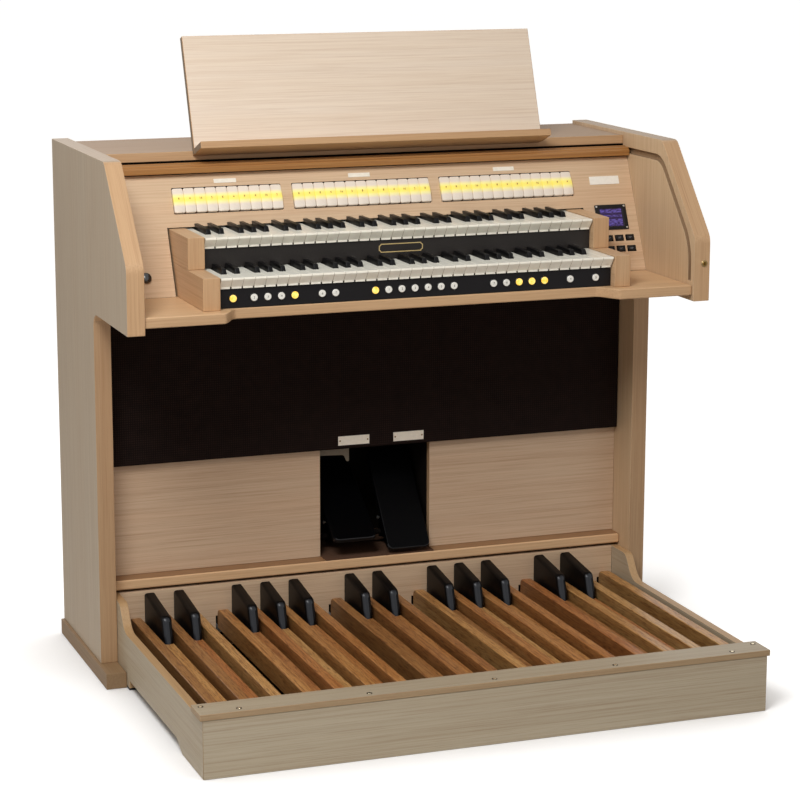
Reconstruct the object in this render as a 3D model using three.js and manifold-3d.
// Two-manual church organ console with a 30-note pedalboard.
// Millimetres, +Z up, the player sits on the -Y side.
// Depths are measured forward from the back of the console, heights from the floor.

import * as THREE from 'three';
import { mergeVertices } from 'three/addons/utils/BufferGeometryUtils.js';
import Module from 'manifold-3d';

const wasm = await Module();
wasm.setup();

// Fits
const fitGap = 0.3; // between pieces that touch
const mitreFit = fitGap * Math.SQRT2; // the same gap across a mitred corner
const cutOverrun = 5; // how far a cutter runs past the faces that it cuts
const weld = 1; // how far fused shapes reach into each other
const arcSteps = 3; // curve divisions of an outline's rounded corners
const fineSteps = 8; // of broad sweeps
const coarseSteps = 2; // of small or repeated corners
const roundSides = 12; // sides of small turned pieces
const sameSpot = 1e-4; // points closer than this are one

// Case
const sideThickness = 36;
const boardSideGap = 0.7; // between the pedalboard and a side panel
const panelEndRoom = 127; // beside the key stack, for the display on one side and the switch on the other
const sideHeight = 1097;
const armReach = 7; // beyond the key desk's deep ends
const crestSetback = 165; // from the arm's front to the front end of the level top edge
const armShoulderDrop = 187; // from the top to where the slanted edge meets the arm's front
const armUndersideDrop = 12.3; // below the key desk
const legDepth = 346;
const crestRadius = 16;
const shoulderRadius = 36;
const armFilletRadius = 28;
const sideEase = 1.2; // softened long edges of the side panels
const plinthDepth = 421;
const plinthHeight = 33;
const plinthOverhang = 7;

// Roll-top groove in the side panels
const grooveWidth = 13;
const grooveCut = 9;
const grooveDrop = 12.5; // from the top board to the centre of its level stretch
const grooveInset = 27; // from the slanted edge to the centre line
const grooveFrontInset = 22;
const grooveEndRise = 8.7; // above the key desk
const grooveBackDepth = 26;
const grooveBendRadius = 60;
const grooveFootRadius = 110;

// Boards of the case
const boardEase = 1;
const topBoardThickness = 19;
const topBoardDrop = 7.5; // below the side panels' tops
const topBoardSetback = 22.3; // of its front edge, behind the stop panel's upper edge
const backPanelThickness = 12;
const backPanelInset = 8;
const ventCount = 9;
const ventWidth = 90;
const ventHeight = 8;
const ventPitch = 22;
const ventTopDrop = 170.5; // below the top board
const ventReach = 380; // vent columns, from the middle
const inletAcross = 430;
const inletHeight = 250;
const inletPlateWidth = 58;
const inletPlateHeight = 34;
const inletPlateThickness = 2;
const inletSocketWidth = 24;
const inletSocketHeight = 18;
const inletSocketDepth = 9;
const shelfTop = 193.4;
const shelfThickness = 22;
const shelfDepth = 295.5;
const kneeDepth = 258;
const kneeThickness = 16;
const grilleThickness = 17;
const grilleBottom = 434;
const grilleEase = 2.5;
const grilleFit = 1.5; // to the side panels

// Key desk
const deskThickness = 21;
const deskEndReach = 34; // of the deep ends, beyond the lower keys
const deskMiddleSetback = 14; // of the middle, behind the lower keys
const deskBreakSpread = 2; // where the front edge leaves the deep ends, outside the key blocks' inner faces
const deskSweep = 39; // how far the edge takes to reach the shallow middle
const deskBackDepth = 236;
const deskEase = 3;

// Stop panel
const panelTopDrop = 25.8; // from the top board to the panel's upper edge
const panelRise = 235.4; // from the key desk to the same edge
const panelTopDepth = 294.3;
const panelFootReach = 107.5; // of its lower edge, beyond the upper one
const panelThickness = 16;
const panelCutMargin = 3.5; // around the key blocks
const panelCutRise = 4.3; // above the key blocks

// Stop tabs
const tabPitch = 23.4;
const tabGap = 1;
const tabWindowTop = 28.6; // down the panel from its top edge
const tabWindowHeight = 55.7;
const tabWindowRadius = 2;
const tabWindowMargin = 1.2;
const tabGroupGap = 24.2;
const tabGroupCounts = [10, 13, 13];
const tabTopRise = 0.8; // proud of the panel at the upper end
const tabRidgeRise = 6.5;
const tabFootRise = 4.3;
const tabRidgeShare = 0.55; // of the tab's length, from its upper end
const tabRidgeRadius = 8;
const tabFootRadius = 1.5;
const tabRailThickness = 8;
const tabRailMargin = 6;

// Display and its buttons
const displayInset = 98; // of its left edge, from the side panel
const displayTop = 108.5;
const displayWidth = 73;
const displayHeight = 56.5;
const displayBezel = 2.5; // proud of the panel
const displayWindowMargin = 5;
const displayBoardThickness = 3;
const buttonInset = 75.4; // of the first column, from the side panel
const buttonDown = 183.8; // first row
const buttonColumnPitch = 25;
const buttonRowPitch = 24.4;
const buttonColumnCount = 3;
const buttonRowCount = 2;
const buttonWidth = 19;
const buttonHeight = 12;
const buttonRadius = 3.5;
const buttonProud = 3;
const buttonHoleMargin = 0.6;

// Power button
const powerInset = 66; // from the left side panel
const powerDown = 216.7;
const powerRadius = 11;
const powerStemRadius = 7;
const powerDomeRise = 6;
const powerStemLength = 21;
const powerStemFit = 0.4;
const powerTravel = 3;

// Manuals
const octaveNaturalCount = 7;
const naturalCount = 36;
const naturalPitch = 23.5;
const keyGap = 1;
const lowerKeyReach = 186.2; // of the lower naturals' fronts, beyond the stop panel's foot
const lowerKeyRise = 63.7; // of the lower naturals' tops, above the key desk
const manualRise = 65;
const manualSetback = 109;
const keyLength = 159;
const keyThickness = 11.5;
const keyLip = 4; // height of the square front lip
const keySkirtHeight = 23.5;
const keySkirtBack = 12.8; // how far the slanted front falls back
const keySkirtWall = 2.4;
const naturalHeadLength = 50; // from the front to the sharps
const sharpWidth = 11;
const sharpTopWidthShare = 0.84;
const sharpRise = 12;
const sharpSlope = 5;
const sharpSideFit = 1.3;
const sharpRearFit = 3;
// Sideways shift in key widths, by the natural of the octave that the sharp follows
const sharpShiftShares = { 0: -0.085, 1: 0.085, 3: -0.128, 4: 0, 5: 0.128 };
const keyBarDepth = 28;
const keyBarFit = 0.3;
const keyBarDrop = 1.5;
const keyBarHeight = 24;
const workingKeyCount = 14; // naturals to the left of the one that moves, middle C
const workingKeyRearFit = 0.9;

// Key blocks and rails
const blockInner = 425; // inner faces, from the middle
const blockThickness = 35.5;
const blockProud = 2.2; // beyond the naturals, forward and up
const blockBackDepth = 285;
const blockEase = 1;
const railSetback = 17.3; // behind the naturals' fronts
const railThickness = 15;
const railKeyFit = 1.6;
const railEase = 1.2;
const pistonRadius = 8.5;
const pistonProud = 5;
const pistonRise = 20.3; // of their centres, above the key desk
const pistonPitch = 28.3;
const pistonSides = 10;
// First piston of each group, in piston pitches from the middle
const pistonGroupShares = [-13.94, -12.41, -7.39, -3.4, 5.67, 11.71, 13.74];
const pistonGroupCounts = [1, 4, 2, 7, 5, 1, 1];

// Roll-top
const curtainRoom = 7.5; // between the last slat and the back panel, with the roll-top open
const slatGapShare = 0.12;
const slatThickness = 12;
const slatBackingThickness = 3;
const slatCount = 15;
const slatTenon = 7; // into the groove
const leadBarHeight = 18;
const leadBarRise = 3; // of its underside, above the stop panel
const leadBarReach = 12.7; // of its face, beyond the stop panel's upper edge
const leadBarThickness = 17;
const leadBarStep = 4; // how far its upper part stands back
const leadBarStepShare = 0.755; // of its height, up to the step

// Music desk
const musicWidth = 778;
const musicPanelHeight = 238.4;
const musicPanelThickness = 15;
const musicLeanAngle = 20.4; // degrees back from upright
const musicFootReach = 10.3; // beyond the top board's front edge
const musicFootRise = 7.5; // above the top board
const musicLedgeDepth = 53.2;
const musicLedgeThickness = 14.4;
const musicEase = 1.2;
const musicPropSpread = 260; // from the middle
const musicPropThickness = 16;
const musicPropReach = 120;
const musicPropHeight = 165;

// Expression pedals and their box
const recessLeft = -110.6;
const recessRight = 142.3;
const boxWall = 8;
const boxBackDepth = 66;
const recessTopRise = 8; // above the grille's lower edge
const shaftDepth = 201;
const shaftHeight = 223;
const shaftRadius = 6;
const shaftFit = 0.35;
const shoeWidth = 98;
const shoeLength = 240;
const shoeThickness = 12;
const shoeHeelReach = 72.4; // from the shaft to the heel end, along the plate
const shoeRise = 68.5; // from the shaft to the plate's upper face
const shoeCornerRadius = 13;
const shoeEase = 1.5;
const shoeFlangeThickness = 7;
const shoeFlangeSpread = 31;
const shoeHubRadius = 13;
const shoeHubFlatShare = 0.6; // half width of the hub's flat foot, of its radius
const shoeFlangeHeelShare = 0.6; // how far the flange runs under the heel
const shoeMiddle = 19.2; // between the two pedals
const shoeSpread = 62.3; // to each side of it
const shoeLeftAngle = 34.3; // degrees from level
const shoeRightAngle = 52.3;

// Loudspeakers behind the grille
const speakerSpread = 345;
const speakerPlaceShare = 0.5; // up the grille
const speakerRadiusShare = 0.248; // of the grille's height
const speakerNeckRadius = 42;
const speakerConeDepth = 52;
const speakerMagnetRadius = 52;
const speakerMagnetDepth = 24;
const speakerHoleMargin = 4;

// Pedalboard
const boardEndRoom = 16; // between a cheek and the outermost pedal, when the pedals stand in the middle
const cheekThickness = 18;
const cheekEase = 1;
const heelDepth = 995.5;
const heelHeight = 114.5;
const heelThickness = 18;
const heelEase = 0.8;
const capThickness = 13;
const capOverhang = 5.5;
const capFrontOverhang = 1.5;
const capWidth = 65.4; // from front to back
const capEase = 1.5;
const toeDepth = 297;
const toeThickness = 18;
const toeHeight = 166;
const cheekBackDepth = 262;
const cheekCrestDepth = 366;
const cheekFallDepth = 403;
const cheekCrestRadius = 25;
const cheekFallRadius = 45;
const cheekClearance = 20; // underside above the floor
const cheekFootLength = 147.5; // of the front foot
const cheekFootRun = 42;
const cheekRearFootDepth = 440;
const cheekRearFootLength = 44;
const floorBoardThickness = 8;
const floorBoardBase = 22;

// Pedals
const pedalNaturalCount = 18;
const pedalPitch = 63.8;
const betweenShare = 0.5; // where a sharp stands, in pitches after its natural
const pedalShift = 4.7;
const pedalWidth = 22;
const naturalTop = 112.3;
const sharpStickTop = 96;
const stickBottom = 69;
const stickToeRadius = 12;
const stickHeelFit = 4; // to the heel board
const stickToeFit = 2; // to the toe board
const stickEase = 2.5;
const tongueInset = 2.5; // from the stick's sides
const tongueTop = 92;
const tongueBottom = 74;
const tongueLength = 30;
const axleInset = 38.5; // behind the heel board's face
const axleHeight = 82;
const axleRadius = 5;
const axleFit = 0.35;
const axleSides = 8;
const cleatThickness = 8; // of the blocks that carry the axle
const slotWidth = 27;
const slotBottom = 54;
const slotTopMargin = 4; // above the tongues
const blockTopRear = 166;
const blockTopFront = 149;
const blockNoseRadius = 9;
const blockNoseReach = 19; // of its foot, in front of its top
const blockEndDepth = 446; // front of the outermost sharps
const blockMiddleDepth = 410; // front of the middle sharps

// Worked-out sizes
const pedalRowHalf = ((pedalNaturalCount - 1) * pedalPitch + pedalWidth) / 2;
const pedalboardHalf = pedalRowHalf + boardEndRoom + cheekThickness;
const innerHalf = Math.max(pedalboardHalf + boardSideGap, blockInner + blockThickness + panelEndRoom);
const insideHalf = innerHalf - fitGap;
const topBoardTop = sideHeight - topBoardDrop;
const topBoardBase = topBoardTop - topBoardThickness;
const shelfBase = shelfTop - shelfThickness;
const panelTopHeight = topBoardBase - panelTopDrop;
const deskTop = panelTopHeight - panelRise;
const deskBase = deskTop - deskThickness;
const lowerKeyTop = deskTop + lowerKeyRise;
const panelFootDepth = panelTopDepth + panelFootReach;
const lowerKeyDepth = panelFootDepth + lowerKeyReach;
const upperKeyDepth = lowerKeyDepth - manualSetback;
const upperKeyTop = lowerKeyTop + manualRise;
const panelCutHeight = upperKeyTop + blockProud + panelCutRise;
const pistonHeight = deskTop + pistonRise;
const armShoulderHeight = sideHeight - armShoulderDrop;
const armUndersideHeight = deskBase - armUndersideDrop;
const grooveHeight = topBoardBase - grooveDrop;
const grooveEndHeight = deskTop + grooveEndRise;
const leadBarBase = panelTopHeight + leadBarRise;
const leadBarDepth = panelTopDepth + leadBarReach;
const leadBarBack = leadBarDepth - leadBarThickness;
const backPanelFront = backPanelInset + backPanelThickness;
const slatPitch = (leadBarBack - backPanelFront - curtainRoom) / slatCount;
const topBoardDepth = panelTopDepth - topBoardSetback;
const musicFootDepth = topBoardDepth + musicFootReach;
const musicFootHeight = topBoardTop + musicFootRise;
const ventTop = topBoardBase - ventTopDrop;
const recessTop = grilleBottom + recessTopRise;
const grilleHeight = deskBase - fitGap - grilleBottom;
const speakerHeight = grilleBottom + grilleHeight * speakerPlaceShare;
const speakerRadius = grilleHeight * speakerRadiusShare;
const deskEndDepth = lowerKeyDepth + deskEndReach;
const deskMiddleDepth = lowerKeyDepth - deskMiddleSetback;
const armDepth = deskEndDepth + armReach;
const crestDepth = armDepth - crestSetback;
const deskBreakOuter = blockInner + deskBreakSpread;
const deskBreakInner = deskBreakOuter - deskSweep;
const displayLeft = innerHalf - displayInset;
const buttonAcross = innerHalf - buttonInset;
const powerAcross = powerInset - innerHalf;
const totalDepth = heelDepth + capFrontOverhang;
const capBackDepth = totalDepth - capWidth;
const cheekFootFront = heelDepth - cheekFootLength;
const axleDepth = heelDepth - axleInset;
// The natural of the octave after which a sharp stands
const sharpPlaces = Object.keys(sharpShiftShares).map(Number);
const degrees = Math.PI / 180;

// Outlines and solids

// A closed outline whose corners are [a, b] or [a, b, radius].
function outline(corners) {
  const shape = new THREE.Shape();
  corners.forEach(([a, b, radius = 0], index) => {
    const corner = new THREE.Vector2(a, b);
    const before = new THREE.Vector2(...corners.at(index - 1).slice(0, 2));
    const after = new THREE.Vector2(...corners[(index + 1) % corners.length].slice(0, 2));
    if (radius === 0) {
      if (index === 0) shape.moveTo(a, b);
      else shape.lineTo(a, b);
      return;
    }
    const back = before.sub(corner).normalize();
    const on = after.sub(corner).normalize();
    const halfAngle = Math.acos(back.dot(on)) / 2;
    const reach = radius / Math.tan(halfAngle);
    const start = corner.clone().addScaledVector(back, reach);
    const end = corner.clone().addScaledVector(on, reach);
    const towardCentre = back.clone().add(on).normalize();
    const centre = corner.clone().addScaledVector(towardCentre, radius / Math.sin(halfAngle));
    const startAngle = Math.atan2(start.y - centre.y, start.x - centre.x);
    const endAngle = Math.atan2(end.y - centre.y, end.x - centre.x);
    if (index > 0) shape.lineTo(start.x, start.y);
    shape.absarc(centre.x, centre.y, radius, startAngle, endAngle, back.cross(on) > 0);
  });
  return shape;
}

function rectangle(left, right, low, high, radius = 0) {
  return outline([[left, low, radius], [right, low, radius], [right, high, radius], [left, high, radius]]);
}

function circle(a, b, radius) {
  return new THREE.Shape().absarc(a, b, radius, 0, 2 * Math.PI, false);
}

// An extrusion with its edges softened by ease, from 0 to thickness along local Z.
function extruded(shape, thickness, ease = 0, steps = arcSteps) {
  const geometry = new THREE.ExtrudeGeometry(shape, {
    depth: thickness - 2 * ease,
    bevelEnabled: ease > 0,
    bevelThickness: ease,
    bevelSize: ease,
    bevelOffset: -ease,
    bevelSegments: 1,
    curveSegments: steps,
  });
  return geometry.translate(0, 0, ease);
}

const axisX = new THREE.Vector3(1, 0, 0);
const axisY = new THREE.Vector3(0, 1, 0);
const axisZ = new THREE.Vector3(0, 0, 1);
const sideways = new THREE.Matrix4().makeBasis(axisY, axisZ, axisX);
const facing = new THREE.Matrix4().makeBasis(axisX, axisZ, axisY.clone().negate());

// An outline in depth (Y) and height (Z), run from left to right.
function alongX(shape, left, right, ease = 0, steps = arcSteps) {
  return extruded(shape, right - left, ease, steps).applyMatrix4(sideways).translate(left, 0, 0);
}

// An outline in width (X) and height (Z), run forward from one depth to another.
function alongY(shape, backDepth, frontDepth, ease = 0, steps = arcSteps) {
  const made = extruded(shape, frontDepth - backDepth, ease, steps);
  return made.applyMatrix4(facing).translate(0, -backDepth, 0);
}

// An outline in width (X) and depth (Y), run upward.
function alongZ(shape, low, high, ease = 0, steps = arcSteps) {
  return extruded(shape, high - low, ease, steps).translate(0, 0, low);
}

function slab(left, right, backDepth, frontDepth, low, high) {
  const geometry = new THREE.BoxGeometry(right - left, frontDepth - backDepth, high - low);
  return geometry.translate((left + right) / 2, -(backDepth + frontDepth) / 2, (low + high) / 2);
}

function solid(geometry) {
  const bare = geometry.clone();
  bare.deleteAttribute('normal');
  bare.deleteAttribute('uv');
  const merged = mergeVertices(bare, sameSpot);
  const mesh = new wasm.Mesh({
    numProp: 3,
    vertProperties: merged.attributes.position.array,
    triVerts: Uint32Array.from(merged.index.array),
  });
  return new wasm.Manifold(mesh);
}

function geometryOf(manifold) {
  const mesh = manifold.getMesh();
  const geometry = new THREE.BufferGeometry();
  geometry.setAttribute('position', new THREE.BufferAttribute(mesh.vertProperties, 3));
  geometry.setIndex(new THREE.BufferAttribute(mesh.triVerts, 1));
  return geometry;
}

function fused(...geometries) {
  return geometryOf(geometries.map(solid).reduce((whole, piece) => whole.add(piece)));
}

function common(first, second) {
  return geometryOf(solid(first).intersect(solid(second)));
}

function cut(geometry, ...cutters) {
  return geometryOf(cutters.map(solid).reduce((whole, piece) => whole.subtract(piece), solid(geometry)));
}

// A band of even width along a rounded path of [a, b, radius] points.
function band(points, width) {
  const path = outline(points).getPoints(arcSteps);
  const left = [];
  const right = [];
  path.forEach((spot, index) => {
    const before = path[Math.max(index - 1, 0)];
    const after = path[Math.min(index + 1, path.length - 1)];
    const along = after.clone().sub(before).normalize();
    const across = new THREE.Vector2(-along.y, along.x).multiplyScalar(width / 2);
    left.push(spot.clone().add(across));
    right.unshift(spot.clone().sub(across));
  });
  return new THREE.Shape([...left, ...right]);
}

// Materials
function finish(colour, roughness, metalness = 0) {
  return new THREE.MeshStandardMaterial({ color: colour, roughness, metalness });
}

const oakLaminate = () => finish('#cdb493', 0.55);
const oakEdge = () => finish('#c39a6a', 0.5);
const oiledOak = () => finish('#a9743f', 0.5);
const blackLacquer = () => finish('#1d1b1d', 0.4);
const grilleCloth = () => finish('#1c1110', 0.9);
const ivoryPlastic = () => finish('#e9e6d8', 0.3);
const whitePlastic = () => finish('#f4f1e4', 0.35);
const blackPlastic = () => finish('#17171a', 0.35);
const hardboard = () => finish('#241d19', 0.8);

const root = new THREE.Group();
root.position.y = totalDepth / 2;

function part(name, geometry, material, parent = root) {
  const mesh = new THREE.Mesh(geometry, material);
  mesh.name = name;
  parent.add(mesh);
  return mesh;
}

// Side panels with their plinth blocks
function sidePanelGeometry(side) {
  const inner = innerHalf;
  const outer = innerHalf + sideThickness;
  const board = alongX(outline([
    [0, plinthHeight - weld],
    [-legDepth, plinthHeight - weld],
    [-legDepth, armUndersideHeight, armFilletRadius],
    [-armDepth, armUndersideHeight],
    [-armDepth, armShoulderHeight, shoulderRadius],
    [-crestDepth, sideHeight, crestRadius],
    [0, sideHeight],
  ]), inner, outer, sideEase);
  const plinth = slab(inner, outer + plinthOverhang, 0, plinthDepth, 0, plinthHeight);
  const groove = alongX(band(groovePath(), grooveWidth), inner - cutOverrun, inner + grooveCut);
  const panel = cut(fused(board, plinth), groove);
  if (side > 0) return panel;
  return mirrored(panel);
}

function mirrored(geometry) {
  return geometryOf(solid(geometry).mirror([1, 0, 0]));
}

// Level under the top board, then alongside the slanted edge and down behind the arm's front.
function groovePath() {
  const slope = new THREE.Vector2(crestDepth - armDepth, armShoulderHeight - sideHeight).normalize();
  const inward = new THREE.Vector2(-slope.y, slope.x);
  const crest = new THREE.Vector2(-crestDepth, sideHeight).addScaledVector(inward, grooveInset);
  const bendDepth = crest.x + slope.x * ((grooveHeight - crest.y) / slope.y);
  const frontDepth = -(armDepth - grooveFrontInset);
  const footHeight = crest.y + slope.y * ((frontDepth - crest.x) / slope.x);
  return [
    [-grooveBackDepth, grooveHeight],
    [bendDepth, grooveHeight, grooveBendRadius],
    [frontDepth, footHeight, grooveFootRadius],
    [frontDepth, grooveEndHeight],
  ];
}

// Case boards
function topBoardGeometry() {
  const shape = rectangle(-topBoardDepth, 0, topBoardBase, topBoardTop);
  return alongX(shape, -insideHalf, insideHalf, boardEase);
}

function backPanelGeometry() {
  const top = topBoardBase - fitGap;
  const board = slab(-insideHalf, insideHalf, backPanelInset, backPanelFront, plinthHeight, top);
  const slots = [-ventReach, ventReach].flatMap((centre) => Array.from({ length: ventCount }, (_, row) => {
    const slotTop = ventTop - row * ventPitch;
    return slab(
      centre - ventWidth / 2, centre + ventWidth / 2, -cutOverrun, backPanelFront + cutOverrun,
      slotTop - ventHeight, slotTop);
  }));
  const inletBack = backPanelInset - inletPlateThickness;
  const plate = slab(
    inletAcross - inletPlateWidth / 2, inletAcross + inletPlateWidth / 2, inletBack, backPanelInset + weld,
    inletHeight - inletPlateHeight / 2, inletHeight + inletPlateHeight / 2);
  const socket = slab(
    inletAcross - inletSocketWidth / 2, inletAcross + inletSocketWidth / 2,
    inletBack - cutOverrun, inletBack + inletSocketDepth,
    inletHeight - inletSocketHeight / 2, inletHeight + inletSocketHeight / 2);
  return cut(fused(board, plate), ...slots, socket);
}

function shelfGeometry() {
  const back = backPanelFront + fitGap;
  return alongX(rectangle(-shelfDepth, -back, shelfBase, shelfTop), -insideHalf, insideHalf, boardEase);
}

function kneeboardGeometry() {
  const shape = outline([
    [-insideHalf, shelfTop + fitGap],
    [recessLeft, shelfTop + fitGap],
    [recessLeft, recessTop],
    [recessRight, recessTop],
    [recessRight, shelfTop + fitGap],
    [insideHalf, shelfTop + fitGap],
    [insideHalf, deskBase - fitGap],
    [-insideHalf, deskBase - fitGap],
  ]);
  for (const side of [-1, 1]) {
    shape.holes.push(circle(side * speakerSpread, speakerHeight, speakerRadius + speakerHoleMargin));
  }
  return alongY(shape, kneeDepth - kneeThickness, kneeDepth, 0, roundSides / 2);
}

// The cloth-covered frame carries the two loudspeakers on its back.
function grilleGeometry() {
  const half = innerHalf - grilleFit;
  const back = kneeDepth + fitGap;
  const face = rectangle(-half, half, grilleBottom, deskBase - fitGap);
  const frame = alongY(face, back, back + grilleThickness, grilleEase);
  return fused(frame, speakerGeometry(-1), speakerGeometry(1));
}

function speakerGeometry(side) {
  const profile = [
    new THREE.Vector2(0, 0),
    new THREE.Vector2(speakerRadius, 0),
    new THREE.Vector2(speakerNeckRadius, speakerConeDepth),
    new THREE.Vector2(speakerMagnetRadius, speakerConeDepth),
    new THREE.Vector2(speakerMagnetRadius, speakerConeDepth + speakerMagnetDepth),
    new THREE.Vector2(0, speakerConeDepth + speakerMagnetDepth),
  ];
  const turned = new THREE.LatheGeometry(profile, roundSides);
  return turned.translate(side * speakerSpread, -kneeDepth - fitGap - weld, 0).translate(0, 0, speakerHeight);
}

// Key desk with its swept front edge
function keyDeskGeometry() {
  const shape = new THREE.Shape();
  const middleOfSweep = (deskBreakOuter + deskBreakInner) / 2;
  shape.moveTo(-insideHalf, -deskBackDepth);
  shape.lineTo(-insideHalf, -deskEndDepth);
  shape.lineTo(-deskBreakOuter, -deskEndDepth);
  shape.bezierCurveTo(
    -middleOfSweep, -deskEndDepth, -middleOfSweep, -deskMiddleDepth, -deskBreakInner, -deskMiddleDepth);
  shape.lineTo(deskBreakInner, -deskMiddleDepth);
  shape.bezierCurveTo(
    middleOfSweep, -deskMiddleDepth, middleOfSweep, -deskEndDepth, deskBreakOuter, -deskEndDepth);
  shape.lineTo(insideHalf, -deskEndDepth);
  shape.lineTo(insideHalf, -deskBackDepth);
  return alongZ(shape, deskBase, deskTop, deskEase, fineSteps);
}

// Places on the slanted stop panel: X across, Y up the slope from its top edge, Z out of its face.
const panelUp = new THREE.Vector3(0, panelFootDepth - panelTopDepth, panelTopHeight - deskTop).normalize();
const panelOut = new THREE.Vector3().crossVectors(axisX, panelUp);
const panelFrame = new THREE.Matrix4().makeBasis(axisX, panelUp, panelOut)
  .setPosition(0, -panelTopDepth, panelTopHeight);
const panelTilt = Math.atan2(panelUp.z, panelUp.y);

function onPanel(geometry) {
  return geometry.applyMatrix4(panelFrame);
}

// A rounded block through the panel, given across and down from the top edge.
function panelBlock(left, right, top, bottom, radius, low, high) {
  const shape = rectangle(left, right, -bottom, -top, radius);
  return extruded(shape, high - low, 0, coarseSteps / 2).translate(0, 0, low);
}

function stopPanelGeometry() {
  const slope = (panelFootDepth - panelTopDepth) / (panelTopHeight - deskTop);
  const foot = deskTop + fitGap;
  const footDepth = panelFootDepth - slope * fitGap;
  const levelThickness = panelThickness / panelUp.z;
  const board = alongX(outline([
    [-panelTopDepth, panelTopHeight],
    [-footDepth, foot],
    [levelThickness - footDepth, foot],
    [levelThickness - panelTopDepth, panelTopHeight],
  ]), -insideHalf, insideHalf);
  const low = -panelThickness - cutOverrun;
  const high = cutOverrun;
  const windows = tabGroups().map(({ left, right }) => onPanel(panelBlock(
    left, right, tabWindowTop, tabWindowTop + tabWindowHeight, tabWindowRadius, low, high)));
  const stack = slab(
    -(blockInner + blockThickness + panelCutMargin), blockInner + blockThickness + panelCutMargin,
    panelTopDepth - levelThickness - cutOverrun, panelFootDepth + cutOverrun,
    deskTop - cutOverrun, panelCutHeight);
  const screen = onPanel(panelBlock(
    displayLeft + displayWindowMargin, displayLeft + displayWidth - displayWindowMargin,
    displayTop + displayWindowMargin, displayTop + displayHeight - displayWindowMargin, 0, low, high));
  const buttonHoles = buttonPlaces().map(([across, down]) => onPanel(panelBlock(
    across - buttonWidth / 2 - buttonHoleMargin, across + buttonWidth / 2 + buttonHoleMargin,
    down - buttonHeight / 2 - buttonHoleMargin, down + buttonHeight / 2 + buttonHoleMargin, 0, low, high)));
  const power = onPanel(new THREE.CylinderGeometry(
    powerStemRadius + powerStemFit, powerStemRadius + powerStemFit, high - low, roundSides)
    .rotateX(Math.PI / 2).translate(powerAcross, -powerDown, (high + low) / 2));
  return cut(board, ...windows, stack, screen, ...buttonHoles, power);
}

function buttonPlaces() {
  return Array.from({ length: buttonRowCount * buttonColumnCount }, (_, index) => [
    buttonAcross + (index % buttonColumnCount) * buttonColumnPitch,
    buttonDown + Math.floor(index / buttonColumnCount) * buttonRowPitch,
  ]);
}

// Left and right end of each group of tabs; the groups stand centred on the panel.
function tabGroups() {
  const widths = tabGroupCounts.map((count) => count * tabPitch);
  const total = widths.reduce((sum, width) => sum + width, 0) + (widths.length - 1) * tabGroupGap;
  let left = -total / 2;
  return widths.map((width) => {
    const group = { left, right: left + width, count: Math.round(width / tabPitch) };
    left += width + tabGroupGap;
    return group;
  });
}

// Rocker tabs fused side by side on the rail that carries them behind the panel
function stopTabsGeometry() {
  const back = -panelThickness - fitGap;
  const railTop = tabWindowTop - tabRailMargin;
  const railBottom = tabWindowTop + tabWindowHeight + tabRailMargin;
  const groups = tabGroups();
  const rail = panelBlock(
    groups[0].left - tabRailMargin, groups.at(-1).right + tabRailMargin, railTop, railBottom, 0,
    back - tabRailThickness, back);
  const top = tabWindowTop + tabWindowMargin;
  const bottom = tabWindowTop + tabWindowHeight - tabWindowMargin;
  const ridge = top + (bottom - top) * tabRidgeShare;
  const profile = outline([
    [-bottom, back - weld],
    [-top, back - weld],
    [-top, tabTopRise],
    [-ridge, tabRidgeRise, tabRidgeRadius],
    [-bottom, tabFootRise, tabFootRadius],
  ]);
  const tabs = groups.flatMap(({ left, count }) => Array.from({ length: count }, (_, index) => (
    extruded(profile, tabPitch - tabGap, 0, coarseSteps / 2)
      .applyMatrix4(sideways)
      .translate(left + index * tabPitch + tabGap / 2, 0, 0))));
  return fused(rail, ...tabs);
}

function displayGeometry() {
  const back = -panelThickness - fitGap;
  const right = displayLeft + displayWidth;
  const bottom = displayTop + displayHeight;
  const bezel = panelBlock(displayLeft, right, displayTop, bottom, 0, fitGap, displayBezel);
  const inset = displayWindowMargin + fitGap;
  const body = panelBlock(
    displayLeft + inset, right - inset, displayTop + inset, bottom - inset, 0,
    back - displayBoardThickness, displayBezel - weld);
  const circuitBoard = panelBlock(
    displayLeft - displayWindowMargin,
    buttonAcross + (buttonColumnCount - 1) * buttonColumnPitch + buttonWidth,
    displayTop - displayWindowMargin, buttonDown + (buttonRowCount - 1) * buttonRowPitch + buttonHeight, 0,
    back - displayBoardThickness, back);
  const buttons = buttonPlaces().map(([across, down]) => panelBlock(
    across - buttonWidth / 2, across + buttonWidth / 2, down - buttonHeight / 2, down + buttonHeight / 2,
    buttonRadius, back - weld, buttonProud));
  return fused(bezel, body, circuitBoard, ...buttons);
}

// A domed cap on a stem, drawn about its own axis
function powerButtonGeometry() {
  const profile = [
    new THREE.Vector2(0, -powerStemLength),
    new THREE.Vector2(powerStemRadius, -powerStemLength),
  ];
  const capBase = powerTravel + fitGap;
  profile.push(new THREE.Vector2(powerStemRadius, capBase));
  profile.push(new THREE.Vector2(powerRadius, capBase));
  const domeSteps = 3;
  for (let step = 0; step <= domeSteps; step += 1) {
    const angle = (step / domeSteps) * (Math.PI / 2);
    const radius = powerRadius * Math.cos(angle);
    profile.push(new THREE.Vector2(
      step === domeSteps ? 0 : radius, capBase + fitGap + powerDomeRise * Math.sin(angle)));
  }
  return new THREE.LatheGeometry(profile, roundSides).rotateX(Math.PI / 2);
}

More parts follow.
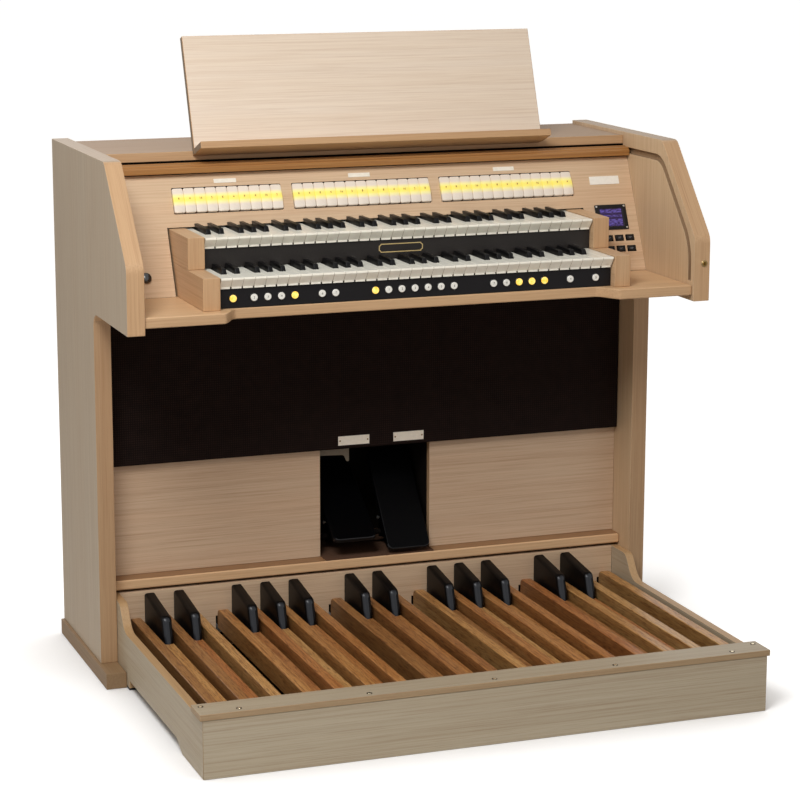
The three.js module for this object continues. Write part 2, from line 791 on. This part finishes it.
// Stepped end blocks of the key stack
function keyBlockGeometry(side) {
  const lowerFront = lowerKeyDepth + blockProud;
  const upperFront = upperKeyDepth + blockProud;
  const base = deskTop + fitGap;
  const shape = outline([
    [-blockBackDepth, base],
    [-lowerFront, base],
    [-lowerFront, lowerKeyTop + blockProud],
    [-upperFront, lowerKeyTop + blockProud],
    [-upperFront, upperKeyTop + blockProud],
    [-blockBackDepth, upperKeyTop + blockProud],
  ]);
  const near = blockInner;
  const far = blockInner + blockThickness;
  return side > 0 ? alongX(shape, near, far, blockEase) : alongX(shape, -far, -near, blockEase);
}

// Naturals are cut away on the sides where a sharp stands beside them.
function naturalGeometry(index, frontDepth, top, length) {
  const left = (index - naturalCount / 2) * naturalPitch + keyGap / 2;
  const right = left + naturalPitch - keyGap;
  const body = top - keyThickness;
  const skirtBack = frontDepth - keySkirtBack;
  const profile = outline([
    [-frontDepth, top],
    [-frontDepth, top - keyLip],
    [-skirtBack, top - keySkirtHeight + keyLip],
    [-skirtBack, top - keySkirtHeight],
    [-skirtBack + keySkirtWall, top - keySkirtHeight],
    [-skirtBack + keySkirtWall, body],
    [length - frontDepth, body],
    [length - frontDepth, top],
  ]);
  const key = alongX(profile, left, right);
  const cutters = [];
  if (carriesSharp(index)) cutters.push(sharpCutter(index, frontDepth, top, length));
  if (carriesSharp(index - 1)) cutters.push(sharpCutter(index - 1, frontDepth, top, length));
  return cutters.length ? cut(key, ...cutters) : key;
}

// Whether a sharp follows this natural
function carriesSharp(index) {
  return index >= 0 && index < naturalCount - 1 && index % octaveNaturalCount in sharpShiftShares;
}

function sharpCentre(index) {
  return (index + 1 - naturalCount / 2 + sharpShiftShares[index % octaveNaturalCount]) * naturalPitch;
}

function sharpCutter(index, frontDepth, top, length) {
  const half = sharpWidth / 2 + sharpSideFit;
  const start = frontDepth - naturalHeadLength + sharpSideFit;
  return slab(
    sharpCentre(index) - half, sharpCentre(index) + half,
    frontDepth - length - cutOverrun, start, top - keySkirtHeight, top + cutOverrun);
}

function sharpGeometry(index, frontDepth, top, length, rearDepth) {
  const start = frontDepth - naturalHeadLength;
  const body = top - keyThickness;
  const half = sharpWidth / 2;
  const profile = outline([
    [-start, body],
    [length - frontDepth, body],
    [length - frontDepth, top - keyBarDrop],
    [-rearDepth, top - keyBarDrop],
    [-rearDepth, top + sharpRise],
    [sharpSlope - start, top + sharpRise],
    [-start, top],
  ]);
  const key = alongX(profile, -half, half);
  const positions = key.attributes.position;
  for (let vertex = 0; vertex < positions.count; vertex += 1) {
    const share = positions.getZ(vertex) > top ? sharpTopWidthShare : 1;
    positions.setX(vertex, positions.getX(vertex) * share + sharpCentre(index));
  }
  return key;
}

function manualGeometry(frontDepth, top, sharpRearDepth, without = -1) {
  const length = keyLength + weld;
  const half = blockInner - keyBarFit;
  const barFront = frontDepth - keyLength;
  const bar = slab(-half, half, barFront - keyBarDepth, barFront, top - keyBarHeight, top - keyBarDrop);
  const keys = [];
  for (let index = 0; index < naturalCount; index += 1) {
    if (index !== without) keys.push(naturalGeometry(index, frontDepth, top, length));
    if (carriesSharp(index)) {
      keys.push(sharpGeometry(index, frontDepth, top, length, sharpRearDepth));
    }
  }
  return fused(bar, ...keys);
}

// Black rails below the keys, between the end blocks
function railGeometry(keyDepth, low, high) {
  const front = keyDepth - railSetback;
  const half = blockInner - fitGap;
  return alongY(rectangle(-half, half, low, high), front - railThickness, front, railEase);
}

function pistonCentres() {
  return pistonGroupShares.flatMap((first, group) => Array.from(
    { length: pistonGroupCounts[group] }, (_, index) => (first + index) * pistonPitch));
}

function pistonRailGeometry() {
  const rail = railGeometry(lowerKeyDepth, deskTop + fitGap, lowerKeyTop - keySkirtHeight - fitGap);
  const front = lowerKeyDepth - railSetback;
  const pistons = pistonCentres().map((across) => new THREE.CylinderGeometry(
    pistonRadius, pistonRadius, pistonProud + weld, pistonSides)
    .translate(across, -front - (pistonProud - weld) / 2, pistonHeight));
  return fused(rail, ...pistons);
}

// Roll-top: a moulded leading bar and the slats of the curtain behind it, on their canvas backing
function rollTopGeometry() {
  const barHalf = insideHalf - fitGap;
  const step = leadBarBase + leadBarHeight * leadBarStepShare;
  const leadBar = alongX(outline([
    [-leadBarBack, leadBarBase],
    [-leadBarDepth, leadBarBase],
    [-leadBarDepth, step],
    [leadBarStep - leadBarDepth, step],
    [leadBarStep - leadBarDepth, leadBarBase + leadBarHeight],
    [-leadBarBack, leadBarBase + leadBarHeight],
  ]), -barHalf, barHalf);
  const tenonHalf = innerHalf + slatTenon;
  const low = grooveHeight - slatThickness / 2;
  const curtainBack = leadBarBack - slatCount * slatPitch;
  const backing = slab(
    -tenonHalf, tenonHalf, curtainBack, leadBarBack + weld, low, low + slatBackingThickness);
  const slats = Array.from({ length: slatCount }, (_, index) => {
    const front = leadBarBack - index * slatPitch - slatPitch * slatGapShare;
    const back = front - slatPitch * (1 - slatGapShare);
    return slab(-tenonHalf, tenonHalf, back, front, low + slatBackingThickness - weld, low + slatThickness);
  });
  return fused(leadBar, backing, ...slats);
}

// Music desk, drawn upright with its front face on the XZ plane, then leaned back
function musicDeskGeometry() {
  const half = musicWidth / 2;
  const lean = musicLeanAngle * degrees;
  const seat = (topBoardTop + fitGap - musicFootHeight) / Math.cos(lean);
  const panel = alongX(rectangle(
    0, musicPanelThickness, seat - musicPanelThickness * Math.tan(lean), musicPanelHeight),
  -half, half, musicEase);
  const ledge = alongX(rectangle(-musicLedgeDepth, weld, -musicLedgeThickness, 0), -half, half, musicEase);
  const body = fused(panel, ledge).rotateX(-lean).translate(0, -musicFootDepth, musicFootHeight);
  const board = topBoardTop + fitGap;
  const floor = slab(
    -half - cutOverrun, half + cutOverrun, 0, topBoardDepth + fitGap, board - musicPanelThickness, board);
  const faceDepth = (height) => musicFootDepth - (height - musicFootHeight) * Math.tan(lean);
  const inset = musicPanelThickness / 2 / Math.cos(lean);
  const props = [-1, 1].map((side) => {
    const left = side * musicPropSpread - musicPropThickness / 2;
    return alongX(outline([
      [inset - faceDepth(board), board],
      [musicPropReach - musicFootDepth, board],
      [inset + weld - faceDepth(board + musicPropHeight), board + musicPropHeight],
      [inset - faceDepth(board + musicPropHeight), board + musicPropHeight],
    ]), left, left + musicPropThickness);
  });
  return fused(cut(body, floor), ...props);
}

// Open-fronted box behind the kneeboard, with the shaft that both expression pedals swing on
function expressionBoxGeometry() {
  const front = kneeDepth - kneeThickness - fitGap;
  const base = shelfTop + fitGap;
  const walls = outline([
    [recessLeft - boxWall, base],
    [recessLeft, base],
    [recessLeft, recessTop],
    [recessRight, recessTop],
    [recessRight, base],
    [recessRight + boxWall, base],
    [recessRight + boxWall, recessTop + boxWall],
    [recessLeft - boxWall, recessTop + boxWall],
  ]);
  const hood = alongY(walls, boxBackDepth, front);
  const back = slab(
    recessLeft - weld, recessRight + weld, boxBackDepth, boxBackDepth + boxWall, base, recessTop + weld);
  const shaftLength = recessRight - recessLeft + boxWall;
  const shaft = new THREE.CylinderGeometry(shaftRadius, shaftRadius, shaftLength, roundSides)
    .rotateZ(Math.PI / 2).translate((recessLeft + recessRight) / 2, -shaftDepth, shaftHeight);
  return fused(hood, back, shaft);
}

// Expression pedal about its shaft: Y runs along the plate to the toe, Z out of the plate
function shoeGeometry() {
  const half = shoeWidth / 2;
  const heel = -shoeHeelReach;
  const plate = alongZ(
    rectangle(-half, half, heel, heel + shoeLength, shoeCornerRadius),
    shoeRise - shoeThickness, shoeRise, shoeEase, coarseSteps);
  const under = shoeRise - shoeThickness + weld;
  const flangeShape = outline([
    [-shoeHubRadius, 0],
    [-shoeHubRadius * shoeHubFlatShare, -shoeHubRadius],
    [shoeHubRadius * shoeHubFlatShare, -shoeHubRadius],
    [shoeHubRadius, 0],
    [shoeHeelReach, under],
    [-shoeHeelReach * shoeFlangeHeelShare, under],
  ]);
  const flanges = [-1, 1].map((side) => {
    const left = side * shoeFlangeSpread - shoeFlangeThickness / 2;
    return alongX(flangeShape, left, left + shoeFlangeThickness);
  });
  const bore = new THREE.CylinderGeometry(
    shaftRadius + shaftFit, shaftRadius + shaftFit, shoeWidth, roundSides).rotateZ(Math.PI / 2);
  return cut(fused(plate, ...flanges), bore);
}

// Pedalboard frame
function cheekOutline() {
  const top = heelHeight - fitGap;
  const rearFootBack = cheekRearFootDepth - cheekRearFootLength;
  return outline([
    [-cheekBackDepth, cheekClearance],
    [-rearFootBack, cheekClearance],
    [-rearFootBack, 0],
    [-cheekRearFootDepth, 0],
    [-cheekRearFootDepth, cheekClearance],
    [-cheekFootFront + cheekFootRun, cheekClearance, cheekFootRun / 2],
    [-cheekFootFront, 0, cheekFootRun / 4],
    [-heelDepth, 0],
    [-heelDepth, top],
    [-cheekFallDepth, top, cheekFallRadius],
    [-cheekCrestDepth, toeHeight, cheekCrestRadius],
    [-cheekBackDepth, toeHeight],
  ]);
}

// The cheek is mitred to the heel board at the front.
function cheekGeometry(side) {
  const outer = pedalboardHalf;
  const inner = pedalboardHalf - cheekThickness;
  const cheek = alongX(cheekOutline(), inner, outer, cheekEase, coarseSteps);
  const spread = heelThickness + cutOverrun;
  const mitre = alongZ(outline([
    [outer + cutOverrun, -heelDepth - cutOverrun],
    [outer - spread, -heelDepth + spread],
    [outer - spread, -heelDepth - cutOverrun],
  ]), -cutOverrun, heelHeight + cutOverrun);
  const shaped = cut(cheek, mitre);
  return side > 0 ? shaped : mirrored(shaped);
}

function heelBoardGeometry() {
  const outer = pedalboardHalf - mitreFit;
  const inner = outer - heelThickness;
  const shape = outline([
    [-outer, -heelDepth],
    [outer, -heelDepth],
    [inner, -heelDepth + heelThickness],
    [-inner, -heelDepth + heelThickness],
  ]);
  return alongZ(shape, 0, heelHeight);
}

function heelCapGeometry() {
  const half = pedalboardHalf + capOverhang;
  const shape = rectangle(-half, half, -totalDepth, -capBackDepth);
  return alongZ(shape, heelHeight + fitGap, heelHeight + capThickness, capEase);
}

function pedalCentre(place) {
  return (place - (pedalNaturalCount - 1) / 2) * pedalPitch + pedalShift;
}

// Each pedal's place among the naturals, in playing order; sharps fall between two naturals.
function pedalPlaces() {
  const noteNames = ['c', 'd', 'e', 'f', 'g', 'a', 'b'];
  const places = [];
  for (let natural = 0; natural < pedalNaturalCount; natural += 1) {
    const letter = noteNames[natural % octaveNaturalCount];
    places.push({ place: natural, sharp: false, letter });
    if (sharpPlaces.includes(natural % octaveNaturalCount) && natural < pedalNaturalCount - 1) {
      places.push({ place: natural + betweenShare, sharp: true, letter: `${letter}_sharp` });
    }
  }
  return places;
}

// Slotted board that guides the toe ends of the pedals
function toeBoardGeometry() {
  const half = pedalboardHalf - cheekThickness - fitGap;
  const board = slab(-half, half, toeDepth - toeThickness, toeDepth, floorBoardBase, toeHeight);
  const slots = pedalPlaces().map(({ place }) => {
    const centre = pedalCentre(place);
    return slab(
      centre - slotWidth / 2, centre + slotWidth / 2,
      toeDepth - toeThickness - cutOverrun, toeDepth + cutOverrun, slotBottom, tongueTop + slotTopMargin);
  });
  return cut(board, ...slots);
}

// Bottom board with the axle that the pedals hinge on, carried in cleats where no sharp stands
function floorBoardGeometry() {
  const half = pedalboardHalf - cheekThickness - fitGap;
  const front = heelDepth - heelThickness - fitGap;
  const top = floorBoardBase + floorBoardThickness;
  const board = slab(-half, half, toeDepth + fitGap, front, floorBoardBase, top);
  const cleat = (centre) => slab(
    centre - cleatThickness / 2, centre + cleatThickness / 2,
    axleDepth - axleRadius * 3, front, top - weld, axleHeight + axleRadius * 2);
  const naturals = pedalPlaces().filter(({ sharp }) => !sharp);
  const beforeWideGaps = naturals.filter(({ place }) => !sharpPlaces.includes(place % octaveNaturalCount));
  const cleats = beforeWideGaps.slice(0, -1).map(({ place }) => cleat(pedalCentre(place + betweenShare)));
  cleats.push(cleat(cleatThickness / 2 - half), cleat(half - cleatThickness / 2));
  const axle = new THREE.CylinderGeometry(axleRadius, axleRadius, 2 * half - axleRadius, axleSides)
    .rotateZ(Math.PI / 2).translate(0, -axleDepth, axleHeight);
  return fused(board, ...cleats, axle);
}

// A bar with eased upper edges, as deep and as high as its side outline
function easedBar(side, back, front, low, high) {
  const half = pedalWidth / 2;
  const section = outline([
    [-half, low],
    [half, low],
    [half, high - stickEase],
    [half - stickEase, high],
    [stickEase - half, high],
    [-half, high - stickEase],
  ]);
  return common(alongX(side, -pedalWidth, pedalWidth, 0, coarseSteps / 2), alongY(section, back, front));
}

// Pedal stick: rounded toe end, a tongue through the toe board and a bore for the axle
function stickGeometry(top) {
  const heel = heelDepth - heelThickness - stickHeelFit;
  const toe = toeDepth + stickToeFit;
  const side = outline([
    [-heel, stickBottom],
    [-toe, stickBottom],
    [-toe, top, stickToeRadius],
    [-heel, top],
  ]);
  const body = easedBar(side, toe, heel, stickBottom, top);
  const half = pedalWidth / 2 - tongueInset;
  const tongue = slab(-half, half, toe - tongueLength, toe + weld, tongueBottom, tongueTop);
  const bore = new THREE.CylinderGeometry(
    axleRadius + axleFit, axleRadius + axleFit, pedalWidth + cutOverrun, axleSides)
    .rotateZ(Math.PI / 2).translate(0, -axleDepth, axleHeight);
  return cut(fused(body, tongue), bore);
}

// The block on a sharp's stick falls to the front and ends in a leaning nose, round at its top.
function sharpBlockGeometry(frontDepth) {
  const toe = toeDepth + stickToeFit;
  const base = sharpStickTop - stickEase;
  const side = outline([
    [-toe, base],
    [-frontDepth - blockNoseReach, base],
    [-frontDepth, blockTopRear, blockNoseRadius],
    [-toe, blockTopRear],
  ]);
  const block = easedBar(side, toe, frontDepth + blockNoseReach, base, blockTopRear);
  const positions = block.attributes.position;
  const fall = (blockTopRear - blockTopFront) / (blockTopRear - base);
  for (let vertex = 0; vertex < positions.count; vertex += 1) {
    const forward = (-positions.getY(vertex) - toe) / (frontDepth - toe);
    const rise = positions.getZ(vertex) - base;
    positions.setZ(vertex, base + rise * (1 - fall * forward));
  }
  return block;
}

// The fronts of the sharps lie on a shallow arc across the board.
function sharpFrontDepth(centre) {
  const share = (centre - pedalShift) / pedalCentre(pedalNaturalCount - 1);
  return blockMiddleDepth + (blockEndDepth - blockMiddleDepth) * share * share;
}

function pedalGeometry(place, sharp) {
  const centre = pedalCentre(place);
  const stick = stickGeometry(sharp ? sharpStickTop : naturalTop);
  const whole = sharp ? fused(stick, sharpBlockGeometry(sharpFrontDepth(centre))) : stick;
  return whole.translate(0, axleDepth, -axleHeight);
}

// Assembly of the console
part('side_panel_left', sidePanelGeometry(-1), oakLaminate());
part('side_panel_right', sidePanelGeometry(1), oakLaminate());
part('top_board', topBoardGeometry(), oakLaminate());
part('back_panel', backPanelGeometry(), oakLaminate());
part('base_shelf', shelfGeometry(), oakLaminate());
part('kneeboard', kneeboardGeometry(), oakLaminate());
part('grille_panel', grilleGeometry(), grilleCloth());
part('key_desk', keyDeskGeometry(), oakEdge());
part('stop_panel', stopPanelGeometry(), oakLaminate());
part('key_block_left', keyBlockGeometry(-1), oakEdge());
part('key_block_right', keyBlockGeometry(1), oakEdge());
part('lower_manual', manualGeometry(
  lowerKeyDepth, lowerKeyTop, upperKeyDepth - railSetback + sharpRearFit, workingKeyCount), ivoryPlastic());
part('upper_manual', manualGeometry(
  upperKeyDepth, upperKeyTop, panelDepthAt(upperKeyTop + sharpRise) + sharpRearFit), ivoryPlastic());
part('upper_rail', railGeometry(
  upperKeyDepth, lowerKeyTop + railKeyFit, upperKeyTop - keySkirtHeight - fitGap), blackLacquer());
part('piston_rail', pistonRailGeometry(), blackLacquer());
part('roll_top', rollTopGeometry(), oakEdge());
part('music_desk', musicDeskGeometry(), oakLaminate());
part('expression_box', expressionBoxGeometry(), hardboard());

function panelDepthAt(height) {
  const share = (panelTopHeight - height) / (panelTopHeight - deskTop);
  return panelTopDepth + (panelFootDepth - panelTopDepth) * share;
}

const panelGroup = new THREE.Group();
panelGroup.position.set(0, -panelTopDepth, panelTopHeight);
panelGroup.rotation.x = panelTilt;
root.add(panelGroup);
part('stop_tabs', stopTabsGeometry(), whitePlastic(), panelGroup);
part('display_unit', displayGeometry(), blackPlastic(), panelGroup);
const powerButton = part('power_button', powerButtonGeometry(), blackPlastic(), panelGroup);
powerButton.position.set(powerAcross, -powerDown, 0);

const key = part('middle_c_key', naturalGeometry(
  workingKeyCount, lowerKeyDepth, lowerKeyTop, keyLength - workingKeyRearFit), ivoryPlastic());
const keyHingeDepth = lowerKeyDepth - keyLength + workingKeyRearFit;
key.geometry.translate(0, keyHingeDepth, -lowerKeyTop);
key.position.set(0, -keyHingeDepth, lowerKeyTop);

function expressionPedal(name, across, angle) {
  const shoe = part(name, shoeGeometry(), blackPlastic());
  shoe.position.set(across, -shaftDepth, shaftHeight);
  shoe.rotation.x = angle * degrees;
}

expressionPedal('expression_pedal_left', shoeMiddle - shoeSpread, shoeLeftAngle);
expressionPedal('expression_pedal_right', shoeMiddle + shoeSpread, shoeRightAngle);

// Assembly of the pedalboard
part('pedal_cheek_left', cheekGeometry(-1), oakLaminate());
part('pedal_cheek_right', cheekGeometry(1), oakLaminate());
part('toe_board', toeBoardGeometry(), oakLaminate());
part('heel_board', heelBoardGeometry(), oakLaminate());
part('heel_cap', heelCapGeometry(), oakLaminate());
part('pedal_floor', floorBoardGeometry(), hardboard());

pedalPlaces().forEach(({ place, sharp, letter }, index) => {
  const number = String(index + 1).padStart(2, '0');
  const pedal = part(`pedal_${number}_${letter}`, pedalGeometry(place, sharp), oiledOak());
  pedal.position.set(pedalCentre(place), -axleDepth, axleHeight);
});

export default root;
